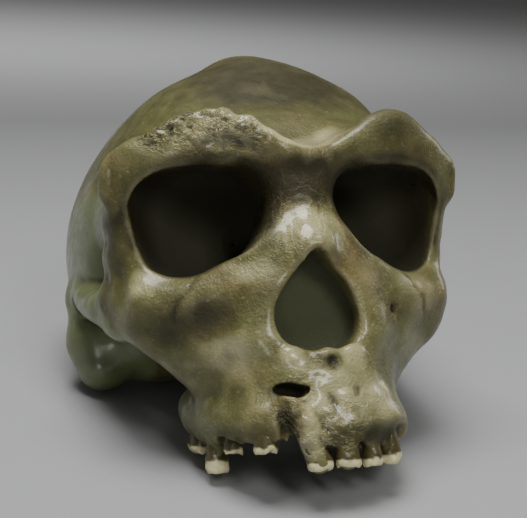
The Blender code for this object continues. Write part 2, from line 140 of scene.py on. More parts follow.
# Under the nose: the spine with its pit, and the low facet on either side of it.
SPINE = ((1.4, -103.6, -34), (3.4, 2.6, 2.4))
SPINE_PIT = [(2.6, -107.4, -36.8, 1.9), (4.2, -108, -40, 1)]
SILL_FACET, SILL_FACET_RADII, SILL_FACET_LEAN = (10.5, -102.4, -35), (5.5, 2.6, 4), 20
# Empty socket beside the exposed root, the notch under it, and the crease on the root's other side.
SOCKET_GROOVE = [(-18.6, -108.4, -49.6, 1.4), (-16.2, -107.4, -56, 2.6), (-14.2, -106.4, -61, 3.4),
                 (-13.8, -106, -66, 4)]
SOCKET_NOTCH = [(-13.9, -112, -65, 3.4), (-7.5, -90, -62.2, 3.4)]
ROOT_CREASE = [(-7.4, -110, -50, 1.4), (-3.4, -110, -58, 1.8), (0.6, -108.6, -66, 1.8)]
# Hollow band above the left teeth, the two ends of the abscess slit, and a lost molar's socket.
LEFT_TEETH_HOLLOW = [(8, -111.6, -64, 3.8), (16, -110, -64.5, 3.8), (24, -106.4, -64.5, 3.6),
                     (30, -98, -64, 3.4)]
ABSCESS = [((-14.6, -105.4, -45.6), (4.8, 8, 2.2), 0), ((-11, -106, -46.7), (3.9, 7, 2), 14)]
# Where shade is painted into the abscess slit: centre and radii.
ABSCESS_SHADE = ((-13, -100.5, -46.2), (9, 6.2, 4))
MOLAR_SOCKET = ((-31.6, -84.5, -65), (5.4, 5, 5))
# Sideways and outward shift of a root against its crown, and how far up a tip is worn pale.
ROOT_LEAN = {"right_central_incisor": (-9.6, -1.6), "left_central_incisor": (-1, -0.6),
             "left_canine": (-2.4, -1.4), "right_canine": (-1.2, 6)}
ROOT_LENGTH, TOOTH_TOP = 21.5, 16     # a root's length, and how far up a tooth's mesh reaches
PALE_TIP = {"right_canine": 1.6, "right_first_premolar": 1.2, "right_first_molar": 4.0,
            "right_central_incisor": 3.3}
USUAL_PALE_TIP = 2.8

# Worn and pitted areas, and the lowered outer part of the right brow: centre and radii.
JAW_WORN = ((-2, -108, -54), (22, 12, 22))
ROOT_WORN = ((-7, -108, -60), (9, 8, 16))
NASAL_WORN = ((-3, -98, 12), (18, 16, 22))
BROW_LOWERED = ((-50, -88, 54), (24, 16, 13))
# Small features of the face: centre, radius and height, in mm; below 0 it is a hollow.
FACE_MARKS = [((-36.3, -90.3, -19.6), 12, -1.3), ((33.2, -92.6, -18), 2.6, -2.4),
              ((33.4, -92.6, -22.6), 2.6, 0.7), ((-61.4, -77, -7.8), 4.4, 0.9),
              ((-59.4, -80, -3), 4, 0.6), ((-58, -83, -12), 5, 0.5),
              ((-23.6, -103.4, -50.5), 3.6, 0.9), ((-36.9, -79.5, -49.3), 3.4, 0.8),
              ((-0.9, -108.8, -53.6), 2.4, 0.6), ((27, -102, -57), 3, 0.6),
              ((21.8, -104, -49.7), 3.4, 0.5), ((5.1, -108.4, -48.8), 3.4, 0.5),
              ((13.1, -108.5, -55.2), 2.6, 0.5), ((-30, -84, -34), 14, -0.8),
              ((28, -98, -36), 14, -0.8)]
# Thin lines: the cheek seams, a crease over the right brow, and both sides of the exposed root.
SEAMS = [[(-40, -86, -4.4), (-45, -87.4, -10.1), (-47.7, -85.9, -13.4), (-50, -82, -24)],
         [(40, -86, -4.4), (44, -87.4, -10.1), (47.7, -85.9, -13.4), (50, -82, -24)],
         [(-44, -88, 58), (-36, -90, 59.5), (-26, -92, 57.5)],
         [(-8.6, -108, -48.5), (-7, -109, -52), (-3.4, -109, -58), (0.4, -108, -65)],
         [(-17.6, -107.5, -49.5), (-15.6, -107, -55), (-12.4, -106, -62)]]
# Patches of paint: centre, radii and tone, below 0 darker and above 0 paler. On the vault and sides
# they are dark wash and rubbed paint; on the brow, cheeks and jaw most dark patches are painted shade
# and most pale ones painted highlights.
VAULT_TONES = [((6, -40, 82), (44, 60, 24), -1.1), ((2, -46, 84), (20, 34, 14), -0.9),
               ((16, 0, 60), (90, 110, 70), -0.45)]
SIDE_TONES = [((-63, -64, 14), (10, 14, 30), -0.7), ((-60, 14, -22), (16, 18, 18), -0.9),
              ((-66, -42, -8), (9, 26, 9), -0.8), ((-60, -78, -6), (7, 10, 8), 0.4)]
# Brow: painted shade under the brow, round the glabella and at the orbit's inner corner; rubbed paint
# with a painted highlight on the rough top of the right brow; a darker top to the left brow.
BROW_SHADE_AND_HIGHLIGHT = [((36, -94, 54), (26, 11, 8), -0.6), ((-34, -94, 50), (28, 12, 10), 0.55),
              ((-16, -88, 20), (14, 18, 18), -0.9), ((0, -96, 28), (14, 14, 10), -0.6),
              ((-28, -86, 14), (8, 12, 6), -0.2)]
# Cheeks: painted shade in the hollows of the openings under the orbits, darker paint low on the right
# cheek, and painted highlights on the nasal bones, by the lower orbit rims and beside the nose.
CHEEK_SHADE_AND_HIGHLIGHT = [((-36, -91, -19), (13, 11, 11), -0.75), ((-50, -80, -20), (22, 16, 14), -0.7),
               ((33, -92, -18), (7, 8, 8), -0.35), ((44, -86, -12), (16, 12, 12), 0.3),
               ((-3, -100, 12), (15, 12, 13), 0.75), ((-24, -97, -3), (13, 10, 6), 0.45),
               ((-22, -90, -8), (14, 8, 5), 0.4), ((-30, -90, -32), (15, 10, 14), 0.75),
               ((24, -98, -30), (12, 9, 12), 0.25)]
# Jaw: painted highlights on the facets beside the spine and on the bone over the teeth; painted shade
# in the spine's pit, the abscess, the empty sockets and the hollow above the left teeth; pale paint
# on the exposed root.
JAW_SHADE_AND_HIGHLIGHT = [((-12, -104, -36), (7, 8, 6), 0.8), ((11, -104, -35), (7, 8, 6), 0.8),
             ((2, -107, -36.6), (5, 5, 4), -1.2), ((3, -108, -48), (20, 9, 12), 0.75),
             ((-26, -104, -50), (6, 8, 8), 0.45), ((22, -103, -50), (10, 9, 11), 0.7),
             ((-13, -103, -46.2), (8, 5, 3), -2), ((-10, -105, -60), (6, 5, 12), 0.7),
             ((-7, -108, -60), (7, 6, 13), 0.7), ((-15, -106, -57), (6, 8, 8), -0.7),
             ((18, -106, -64), (19, 12, 6.5), -0.8), ((-31, -88, -62), (9, 12, 6), -0.8),
             ((-20, -103, -60), (12, 12, 7), -0.4)]
TONES_AND_PAINTED_LIGHT = VAULT_TONES + SIDE_TONES + BROW_SHADE_AND_HIGHLIGHT + CHEEK_SHADE_AND_HIGHLIGHT + JAW_SHADE_AND_HIGHLIGHT


def blend(a, b, width):
    """Union of two shapes, rounded where they meet over the given width."""
    h = np.maximum(width - np.abs(a - b), 0) / width
    return np.minimum(a, b) - h * h * width * 0.25


def carve(a, b, width):
    """Shape a less shape b, with the edge rounded over the given width."""
    return -blend(-a, b, width)


def egg(p, centre, radii, lean=0, power=2):
    """Ellipsoid, turned by lean degrees in the frontal plane; above 2 the power squares it."""
    x, y, z = (p[i] - centre[i] for i in range(3))
    s, c = np.sin(np.radians(lean)), np.cos(np.radians(lean))
    parts = [np.abs(v) / r + 1e-6 for v, r in zip((c * x + s * z, y, c * z - s * x), radii)]
    size = sum(v ** power for v in parts) ** (1 / power)
    slope = sum(((v / size) ** (power - 1) / r) ** 2 for v, r in zip(parts, radii)) ** 0.5
    return (size - 1) / slope


def bars(p, path, width=4.0):
    """Chain of tapered round bars through points given as x, y, z and radius."""
    shape = None
    for start, end in zip(path[:-1], path[1:]):
        step = [end[i] - start[i] for i in range(3)]
        along = sum((p[i] - start[i]) * step[i] for i in range(3)) / sum(s * s for s in step)
        along = np.clip(along, 0, 1)
        away = np.sqrt(sum((p[i] - start[i] - along * step[i]) ** 2 for i in range(3)))
        bar = away - start[3] - along * (end[3] - start[3])
        shape = bar if shape is None else blend(shape, bar, width)
    return shape


def curve(points, count):
    """Smooth curve of count points through the given points."""
    p = np.array(points, float)
    p = np.vstack([2 * p[0] - p[1], p, 2 * p[-1] - p[-2]])
    place = np.linspace(0, len(points) - 1 - 1e-6, count)
    i = place.astype(int)
    t = (place - i)[:, None]
    a, b, c, d = p[i], p[i + 1], p[i + 2], p[i + 3]
    return 0.5 * (2 * b + (c - a) * t + (2 * a - 5 * b + 4 * c - d) * t ** 2
                  + (3 * b - a - 3 * c + d) * t ** 3)


def ease(value, start, end):
    """Rises smoothly from 0 at start to 1 at end."""
    t = np.clip((value - start) / (end - start), 0, 1)
    return t * t * (3 - 2 * t)


def vault(p):
    """Braincase with the torus across the back and the flat area for the neck muscles."""
    x, y, z = p
    cx, cy, cz = VAULT_CENTRE
    rx, ry, rz = VAULT_RADII
    below = VAULT_RADIUS_BELOW / rz
    height = np.where(z > cz, z - cz, (z - cz) / below)
    shape = egg((x, y, height), (cx, cy, 0), (rx, ry, rz), power=VAULT_POWER)
    shape = blend(shape, bars(p, KEEL_PATH, 8), 18)
    shape = blend(shape, bars(p, curve(TORUS_PATH, 7), 5), 8)
    shape = blend(shape, egg(p, (26, -28, 6), (21, 26, 26)), 12)
    shape = carve(shape, egg(p, (66, -42, -6), (19, 24, 24)), 10)
    shape = blend(shape, egg(p, (26, 44, -12), (24, 30, 17)), 10)
    shape = carve(shape, (y + 34) * 0.69 - (z - 94) * 0.72, 14)
    shape = carve(shape, (66 - y) * 0.75 + (90 - z) * 0.66, 16)
    return carve(shape, (z + 8) * 0.95 + (96 - y) * 0.31, 8)


def base(p):
    """Underside: condyles, mastoids, jaw sockets and the plates behind the palate."""
    shape = bars(p, [(0, 4, -18, 8), (0, -26, -10, 12), (0, -48, -8, 13)], 8)
    shape = blend(shape, egg(p, (36, 12, -19), (25, 26, 19.6)), 8)
    shape = blend(shape, egg(p, (17, 4, -25), (8, 13, 8)), 6)
    shape = blend(shape, bars(p, [(60.4, 17, -2, 13), (60.8, 12, -19, 13.8), (60, 10, -29, 11.8)]), 7)
    shape = blend(shape, bars(p, [(67, 2, 0, 6.4), (66, 16, 1, 6), (62, 34, 8, 6)]), 6)
    shape = blend(shape, bars(p, [(58, -3, -6, 7), (36, -6, -15, 7)]), 4)
    shape = blend(shape, bars(p, [(62, -16, -6, 6), (42, -22, -10, 7)]), 5)
    shape = carve(shape, egg(p, (50, -10, -14), (12, 6, 6)), 3)
    shape = blend(shape, bars(p, [(15, -44, -10, 7), (16, -47, -30, 4.6), (18, -49, -46, 5)]), 5)
    return blend(shape, bars(p, [(18, -42, -12, 6), (25, -39, -30, 3.6), (27, -40, -42, 3.6)]), 5)


def face(p):
    """Cheeks, nose and upper jaw before the orbits and the nose are opened."""
    shape = bars(p, curve(SIDE_RIM_PATH, 6), 4)
    plate = blend(bars(p, SIDE_MIDDLE_PATH, 4), bars(p, SIDE_PLATE_PATH, 4), 4)
    shape = blend(shape, plate, 4)
    shape = blend(shape, bars(p, curve(LOWER_RIM_PATH, 9), 4), 6)
    shape = blend(shape, bars(p, [(0, -87, 28, 9), (0, -91, 16, 7), (0, -101, 3.5, 6.2)]), 7)
    shape = blend(shape, bars(p, [(3, -97, 6, 6.5), (12, -94, -10, 6.5), (17, -92, -26, 8)]), 6)
    shape = blend(shape, bars(p, [(8, -85, 26, 8), (13, -90, 8, 7), (19, -91, -10, 7),
                                  (21, -91, -26, 8)]), 6)
    shape = blend(shape, bars(p, [(37, -64, 13, 23), (24, -46, 12, 16)]), 6)
    shape = blend(shape, egg(p, (0, -62, 14), (26, 26, 26)), 8)
    shape = blend(shape, egg(p, (0, -70, -7), (19, 20, 33), power=4), 6)
    shape = blend(shape, egg(p, (47, -70, -16), (15, 9, 15), 32), 7)
    shape = blend(shape, bars(p, [(55, -64, -21, 6), (41, -68, -31, 7.6), (31, -71, -44, 7)]), 8)
    shape = blend(shape, egg(p, (22, -72, -20), (25, 21, 26)), 8)
    shape = blend(shape, egg(p, (0, -85, -44), (28, 23, 20)), 10)
    shape = blend(shape, egg(p, (20, -66, -44), (15, 27, 18)), 8)
    return blend(shape, bars(p, curve(TOOTH_ROW_PATH, 11), 5), 5)


def brow(p):
    """Heavy brow ridge over both orbits; its front leans back below its upper edge."""
    x, y, z = p
    shape = bars(p, curve(BROW_PATH, 16), 3)
    shape = blend(shape, egg(p, (0, -72, 30), (52, 17, 20)), 8)
    edge = curve(BROW_EDGE, 40)
    edge_y, edge_z = (np.interp(x, edge[:, 0], edge[:, i]) for i in (1, 2))
    lean = np.radians(BROW_FACE)
    return carve(shape, (y - edge_y) * np.cos(lean) + (z - edge_z) * np.sin(lean), 4)


def ring(radii, count=72):
    """Smooth closed outline: count radii from a few that are evenly spaced round a turn."""
    return np.fft.irfft(np.fft.rfft(radii), count) * count / len(radii)


def orbit(p):
    """Eye socket: its outline narrows backwards and towards the middle."""
    x, y, z = p
    deep = np.maximum(y - ORBIT_MOUTH, 0)
    size = np.sqrt(np.maximum(1 - (deep / ORBIT_DEPTH) ** 2.2, 0.001))
    u = x - ORBIT_CENTRE[0] + 0.62 * deep
    v = z - ORBIT_CENTRE[1] + 0.05 * deep
    outline = ring(ORBIT_RADII)
    turns = np.arange(len(outline)) * 360 / len(outline)
    radius = np.interp(np.degrees(np.arctan2(v, u)) % 360, turns, outline, period=360)
    return (np.hypot(u, v) - radius * size) * 0.9


def nose_opening(p):
    """Nasal aperture: pointed above, broad below, closed at the back."""
    x, y, z = p
    edge = curve(NOSE_PROFILE, 40)
    half_width = np.interp(z, edge[:, 0], edge[:, 1])
    return carve((x - half_width) * 0.75, NOSE_BACK - y, 6)


def hollows(p):
    """Openings of the underside: palate, throat side of the nose, spinal and ear openings."""
    return [(egg(p, (0, -66, -66), (22, 30, 19)), 3),
            (bars(p, [(7.5, -36, -24, 6), (7.5, -50, -27, 6.5)]), 3),
            (egg(p, (0, 24, -27), (14.5, 19, 15)), 3),
            (bars(p, [(84, 3, -3, 4), (52, 1, -5, 3.4)]), 1.5)]


def nasal_ridge(q):
    """The two nasal bones: planes that fall away from a ridge, which stands out further down."""
    x, y, z = q
    ridge = NASAL_RIDGE_TOP - NASAL_SLOPE * (NASAL_ROOT - z)
    slopes = 0.8 * (ridge - y) + 0.6 * np.hypot(x - 0.6, 0.8)
    return carve(carve(slopes, NASAL_END - z, 1), z - NASAL_ROOT - 1, 6)


def tooth_roots(q):
    """Roots of the teeth, which show through the bone and reach down to the crowns."""
    shape = None
    for name, (x, y, tip, width, depth) in TEETH.items():
        lean, out = ROOT_LEAN.get(name, (0, -1.2))
        root = bars(q, [(x + lean, y + out, tip + 3.5 + ROOT_LENGTH, 0.38 * width),
                        (x, y, tip + 3.5, 0.47 * width)])
        shape = root if shape is None else np.minimum(shape, root)
    return shape


def face_details(shape, q):
    """Brow crest, nasal bones and spine, roots, and the hollows beside and above them."""
    shape = blend(shape, bars(q, BROW_CREST), 3)
    shape = blend(shape, nasal_ridge(q), 4)
    shape = blend(shape, egg(q, *SPINE), 4)
    shape = carve(shape, bars(q, SPINE_PIT), 1)
    x, y, z = SILL_FACET
    for side in (-1, 1):
        facet = egg(q, (side * x, y, z), SILL_FACET_RADII, side * SILL_FACET_LEAN)
        shape = blend(shape, facet, 2)
    shape = carve(shape, bars(q, SOCKET_GROOVE), 1)
    shape = carve(shape, bars(q, SOCKET_NOTCH), 1)
    shape = carve(shape, bars(q, LEFT_TEETH_HOLLOW), 3)
    shape = blend(shape, tooth_roots(q), 2)
    shape = carve(shape, bars(q, ROOT_CREASE), 1)
    for centre, radii, lean in ABSCESS:
        shape = carve(shape, egg(q, centre, radii, lean), 0.6)
    return carve(shape, egg(q, *MOLAR_SOCKET), 1)


def skull(x, y, z):
    """Signed distance, in millimetres, to the whole skull without its teeth."""
    leaning = x - VAULT_LEAN * ease(z, 20, 95) * ease(y, -85, -35)
    shift = JAW_SHIFT * ease(-y, 78, 96) * ease(-z, 15, 45)
    drop = JAW_DROP * ease(x, -12, 2) * ease(-y, 60, 80) * ease(-z, 36, 58)
    p = (np.abs(x - shift), y, z + drop)
    shape = vault((np.abs(leaning), y, z))
    shape = blend(shape, base(p), 6)
    behind_brow = 7 + 17 * ease(z, 32, 46) * ease(58 - p[0], 0, 22)
    shape = blend(shape, blend(face(p), brow(p), 5), behind_brow)
    arch = blend(bars(p, curve(ARCH_PATH, 9)), bars(p, curve(ARCH_LOWER_PATH, 6)), 6)
    shape = blend(shape, arch, 5)
    shape = carve(shape, bars(p, curve(SULCUS_PATH, 9), 3), 12)
    shape = blend(shape, egg((x, y, z), *TEMPLE_FILL), 4)
    soft_side = ease(30 - p[0], 0, 14) * ease(z, 6, 20)
    shape = carve(shape, orbit(p), 1.4 + 8 * soft_side)
    shape = carve(shape, nose_opening(p), 2)
    for hollow, width in hollows(p):
        shape = carve(shape, hollow, width)
    ragged = 0.8 * np.sin(0.9 * x + 1) + 0.6 * np.sin(0.37 * x - 0.5 * y)
    shape = carve(shape, z + drop - JAW_MARGIN + ragged, 2)
    shape = face_details(shape, (x, y, z))
    pitch = np.radians(REST_PITCH)
    return carve(shape, z * np.cos(pitch) - y * np.sin(pitch) + FLOOR_DEPTH, 0.5)


def in_lots(function, points, lot=40000):
    """Values of a function at rows of points, worked out a lot at a time."""
    return np.concatenate([function(*points[i:i + lot].T) for i in range(0, len(points), lot)])


def sampled(step):
    """Samples of the skull on a grid; only the samples near the surface are exact."""
    low, block = np.array(BOX_LOW, float), 4
    count = np.ceil((np.array(BOX_HIGH) - low) / (step * block)).astype(int)
    axes = [low[i] + step * (block * np.arange(count[i]) + (block - 1) / 2) for i in range(3)]
    middles = np.stack(np.meshgrid(*axes, indexing="ij"), -1)
    rough = in_lots(skull, middles.reshape(-1, 3)).reshape(middles.shape[:3])
    values = rough.astype(np.float32).repeat(block, 0).repeat(block, 1).repeat(block, 2)
    inner = np.stack(np.meshgrid(*[np.arange(block)] * 3, indexing="ij"), -1).reshape(-1, 3)
    near = np.argwhere(np.abs(rough) < step * block * 1.3)
    index = (near[:, None] * block + inner).reshape(-1, 3)
    values[tuple(index.T)] = in_lots(skull, low + index * step)
    return values


def mesh_object(name, points, faces):
    """Object with a mesh of the given points and faces."""
    mesh = bpy.data.meshes.new(name)
    mesh.from_pydata(np.asarray(points).tolist(), [], faces)
    thing = bpy.data.objects.new(name, mesh)
    bpy.context.scene.collection.objects.link(thing)
    return thing


def settle(thing):
    """Applies the modifiers of an object."""
    graph = bpy.context.evaluated_depsgraph_get()
    thing.data = bpy.data.meshes.new_from_object(thing.evaluated_get(graph))
    thing.modifiers.clear()


def whole_skull(name):
    """The skull as one closed mesh, in millimetres in its own frame."""
    grid = openvdb.FloatGrid(50.0)
    grid.copyFromArray(sampled(SAMPLE_STEP))
    points, triangles, quads = grid.convertToPolygons(0.0, 0.0)
    faces = quads.tolist() + triangles.tolist()
    thing = mesh_object(name, points * SAMPLE_STEP + np.array(BOX_LOW), faces)
    ratio = MOST_TRIANGLES / (2 * len(quads) + len(triangles))
    print("cranium triangles before thinning", 2 * len(quads) + len(triangles))
    if ratio < 1:
        thing.modifiers.new("thin", "DECIMATE").ratio = ratio
        settle(thing)
    return thing


def keep_largest(thing):
    """Keeps the largest closed surface of an object."""
    mesh = bmesh.new()
    mesh.from_mesh(thing.data)
    islands, left = [], set(mesh.verts)
    while left:
        island, edge = set(), [left.pop()]
        while edge:
            vert = edge.pop()
            island.add(vert)
            fresh = {e.other_vert(vert) for e in vert.link_edges} & left
            left -= fresh
            edge.extend(fresh)
        islands.append(island)
    largest = max(islands, key=len)
    bmesh.ops.delete(mesh, geom=[v for v in mesh.verts if v not in largest], context="VERTS")
    mesh.to_mesh(thing.data)
    mesh.free()


def points_of(thing):
    """Points of an object's mesh, as rows."""
    flat = np.empty(3 * len(thing.data.vertices), np.float32)
    thing.data.vertices.foreach_get("co", flat)
    return flat.reshape(-1, 3).astype(float)


def normals_of(thing):
    """Normals at the points of an object's mesh, as rows."""
    flat = np.empty(3 * len(thing.data.vertices), np.float32)
    thing.data.vertices.foreach_get("normal", flat)
    return flat.reshape(-1, 3).astype(float)


def move_points(thing, points):
    """Gives the points of an object's mesh new places, as rows."""
    thing.data.vertices.foreach_set("co", np.asarray(points, np.float32).ravel())
    thing.data.update()


def store(thing, name, values):
    """Keeps one number for each point of a mesh, for its material to read."""
    layer = thing.data.attributes.new(name, "FLOAT", "POINT")
    layer.data.foreach_set("value", np.asarray(values, np.float32))


def noise(points, size, seed):
    """Smooth random value in -1 to 1: random numbers on a lattice of that size, eased between."""
    lattice = np.random.default_rng(seed).uniform(-1, 1, (32, 32, 32))
    place = points / size
    cell = np.floor(place).astype(int)
    t = place - cell
    t = t * t * (3 - 2 * t)
    value = np.zeros(len(points))
    for corner in np.ndindex(2, 2, 2):
        weight = np.prod([t[:, i] if corner[i] else 1 - t[:, i] for i in range(3)], axis=0)
        value += weight * lattice[tuple(((cell + corner) % 32).T)]
    return value


def pits(points, size, seed):
    """Depth of round pits strewn one to a cell of that size: 1 in the middle, 0 outside."""
    random = np.random.default_rng(seed)
    place_in_cell, width = random.uniform(0, 1, (16, 16, 16, 3)), random.uniform(0.2, 0.62, (16,) * 3)
    place = points / size
    cell = np.floor(place).astype(int)
    depth = np.zeros(len(points))
    for step in np.ndindex(3, 3, 3):
        other = cell + np.array(step) - 1
        index = tuple((other % 16).T)
        away = np.linalg.norm(other + place_in_cell[index] - place, axis=1) / width[index]
        depth = np.maximum(depth, 1 - ease(away, 0.2, 1.0))
    return depth


def smoothed(thing, values, rounds):
    """Values at the points of a mesh, averaged with their neighbours a number of times."""
    ends = np.empty(2 * len(thing.data.edges), np.int32)
    thing.data.edges.foreach_get("vertices", ends)
    a, b = ends.reshape(-1, 2).T
    values = np.array(values, float)
    flat = values.reshape(len(values), -1)
    count = np.bincount(a, minlength=len(values)) + np.bincount(b, minlength=len(values)) + 1.0
    for _ in range(rounds):
        for i in range(flat.shape[1]):
            total = np.bincount(a, flat[b, i], len(values)) + np.bincount(b, flat[a, i], len(values))
            flat[:, i] = (total + flat[:, i]) / count
    return flat.reshape(values.shape)


def bulge(thing, rounds):
    """How far each point stands out of the surface around it, in mm; below 0 in a hollow."""
    points = points_of(thing)
    return ((points - smoothed(thing, points, rounds)) * normals_of(thing)).sum(1)


def near(points, centre, radii):
    """1 at the centre of an ellipsoid, falling to 0 at its surface."""
    away = np.linalg.norm((points - np.array(centre)) / np.array(radii), axis=1)
    return 1 - ease(away, 0.55, 1.0)


def seam(points, path, width):
    """1 on a line through the given points, falling to 0 at the given distance from it."""
    line = curve(path, 8 * len(path))
    wander = points + 0.8 * np.stack([noise(points, 3, 30 + i) for i in range(3)], -1)
    away = np.full(len(points), np.inf)
    for start, end in zip(line[:-1], line[1:]):
        step = end - start
        along = np.clip((wander - start) @ step / (step @ step), 0, 1)
        away = np.minimum(away, np.linalg.norm(wander - start - along[:, None] * step, axis=1))
    return 1 - ease(away, 0.2 * width, width)


def brow_wear(points):
    """1 on the worn, wrinkled front of the right brow, falling to 0 around it."""
    x, y, z = points.T
    return ease(-x, 12, 22) * ease(x, -66, -57) * ease(z + 0.12 * x, 33, 42) * ease(-y, 78, 85)


def roughen(thing):
    """Gives the surface its waves, the pitted brow, the worn jaw and small marks.

    Gives back how rough each point is, from 0 to 1."""
    points, normals = points_of(thing), normals_of(thing)
    brow_rough = brow_wear(points)
    jaw = near(points, *JAW_WORN) * ease(-points[:, 1], 94, 100)
    root, nasal = near(points, *ROOT_WORN), near(points, *NASAL_WORN)
    veins = 1 - 2.6 * np.abs(noise(points * (0.7, 1, 1.3), 4.4, 3))
    lift = 0.30 * noise(points, 17, 1) + 0.16 * noise(points, 7, 2)
    lift += brow_rough * (0.75 * veins - 0.9 * pits(points, 3.4, 4) - 0.5 * pits(points, 2.0, 5))
    lift -= 2.4 * near(points, *BROW_LOWERED)
    lift += jaw * (0.38 * noise(points, 2.6, 6) + 0.28 * noise(points, 1.5, 14)
                   - 0.5 * pits(points, 4.4, 7))
    lift += 0.3 * nasal * noise(points * (1.6, 1, 0.35), 1.9, 31)
    few = ease(noise(points, 22, 8), 0.25, 0.6) * ease(40 - points[:, 2], 0, 20)
    lift -= few * 0.45 * pits(points, 5.5, 9)
    for centre, radius, height in FACE_MARKS:
        away = np.linalg.norm(points - np.array(centre), axis=1)
        lift += height * (1 - ease(away, 0, radius))
    for path in SEAMS:
        lift -= 0.4 * seam(points, path, 1.2)
    move_points(thing, points + normals * lift[:, None])
    patchy = ease(noise(points, 8, 32), -0.5, 0.3)
    worn = brow_rough * (0.45 + 0.55 * patchy) + 0.6 * np.maximum(jaw, root) * patchy
    return np.clip(worn + 0.15 * nasal, 0, 1)


def brow_shade_and_highlight(points):
    """Painted shade on the front of the brow and round the orbits, and a painted highlight in the
    hollow behind its edge.
    """
    x, y, z = points.T
    edge = curve(BROW_EDGE, 40)
    above = z - np.interp(np.abs(x), edge[:, 0], edge[:, 2])
    dark_from = -2 - 10 * ease(-x, 4, 20)
    below_edge = (1 - ease(above - dark_from, -4, 0)) * ease(above, -26, -16)
    # Painted shade on the front of the brow, below its upper edge.
    value = -ease(y, -66, -76) * (0.9 - 0.75 * ease(x, 6, 24)) * below_edge
    rim = orbit((np.abs(x), y, z))
    # Painted shade round the orbit rims.
    value -= 0.8 * ease(4.5 - rim, 0, 3) * ease(z, -2, 10) * ease(-y, 55, 62)
    # Painted highlight in the hollow just behind the brow's edge.
    behind_edge = ease(above, -2, 0) * (1 - ease(above, 3, 9)) * ease(y, -64, -74)
    return value + 1.3 * behind_edge * (1 - ease(np.abs(x + 4), 14, 32))


def tone_and_painted_light(points):
    """Tone of the paint, from -1 for the darkest wash and painted shade to 1 for the palest rubbed
    places and painted highlights.
    """
    value = 0.25 * noise(points, 14, 12) + 0.2 * noise(points, 5, 13) + brow_shade_and_highlight(points)
    for centre, radii, strength in TONES_AND_PAINTED_LIGHT:
        away = np.linalg.norm((points - np.array(centre)) / np.array(radii), axis=1)
        value += strength * (1 - ease(away, 0.2, 1.15))
    for path in SEAMS:
        value -= 0.5 * seam(points, path, 1.3)
    return np.clip(value, -1, 1)


def filled(points):
    """1 on the smooth filling of the skull's right temple and base, 0 on the bone paint."""
    x, y, z = points.T
    edge = 1.2 * noise(points, 9, 11)
    front = -53.5 - 0.45 * np.clip(-4 - z, 0, 18)
    temple = ease(edge - x, 40, 41) * ease(edge + y - front, 0, 1.5) * ease(edge + 39 - z, 0, 1.5)
    under = ease(edge - z, 14, 15) * ease(8 - x + edge, 0, 1)
    under *= ease(edge + y, -60, -59) * ease(-z - 0.9 * (y + 75), 0, 3)
    return np.maximum(temple, under)


def depth_inside(points):
    """Three numbers, 0 outside and 1 within: in an orbit, where shade is painted from the rim back,
    far back in an orbit, and in the nose.
    """
    x, y, z = points.T
    side = np.abs(x)
    behind_rim = y + 88 - 0.9 * np.clip(side - 40, 0, 30)
    gradual = ease(30 - side, 0, 14) * ease(z, 6, 20)
    in_orbit = ease(1.5 - orbit((side, y, z)), 0, 1.5)
    nose_depth = ease(1.5 - nose_opening((side, y, z)), 0, 1.5) * ease(y, -97, -91)
    near_rim = in_orbit * ease(behind_rim, -3, 2 + 18 * gradual)
    return near_rim, in_orbit * ease(behind_rim, 6, 30), nose_depth


def to_floor(points):
    """Skull frame in millimetres to the part's frame in metres."""
    pitch = np.radians(REST_PITCH)
    x, y, z = np.asarray(points, float).T
    turned = np.stack([x, y * np.cos(pitch) + z * np.sin(pitch),
                       z * np.cos(pitch) - y * np.sin(pitch)], -1)
    return (turned + np.array(REST_SHIFT)) * MM


def lay(thing, points):
    """Puts an object's points, given in the skull's frame, on the floor; none goes below it."""
    placed = to_floor(points)
    placed[:, 2] = np.maximum(placed[:, 2], 0)
    move_points(thing, placed)


def turn_to_floor(vector):
    """Direction in the skull's frame as a direction in the part's frame."""
    return (to_floor([vector])[0] - to_floor([(0, 0, 0)])[0]) / MM


def cranium():
    """The skull in one piece, with its detail and the numbers that its paint reads.

    All but the edge wear with its painted shade in hollows, and the grain, are worked out on the
    smooth shape, before it is roughened."""
    thing = whole_skull("cranium")
    keep_largest(thing)
    smooth = points_of(thing)
    inside_shade, deep, nose = depth_inside(smooth)
    # The abscess slit gets the same painted shade as the orbits.
    inside_shade = np.maximum(inside_shade, near(smooth, *ABSCESS_SHADE))
    # Paint tones, with painted shade and painted highlights among them.
    store(thing, "tone_and_painted_light", tone_and_painted_light(smooth))
    store(thing, "filled", filled(smooth))
    store(thing, "inside_shade", inside_shade)
    store(thing, "deep", deep)
    store(thing, "nose", nose)
    store(thing, "rough", roughen(thing))
    store(thing, "grain", 0.3 + 0.7 * ease(-points_of(thing)[:, 1], 55, 88))
    # Ridges of the mesh get pale rubbed paint, its hollows painted shade.
    store(thing, "edge", smoothed(thing, np.clip(bulge(thing, 6) * 1.6, -1, 1), 1))
    lay(thing, points_of(thing))
    thing.data.shade_smooth()
    return thing


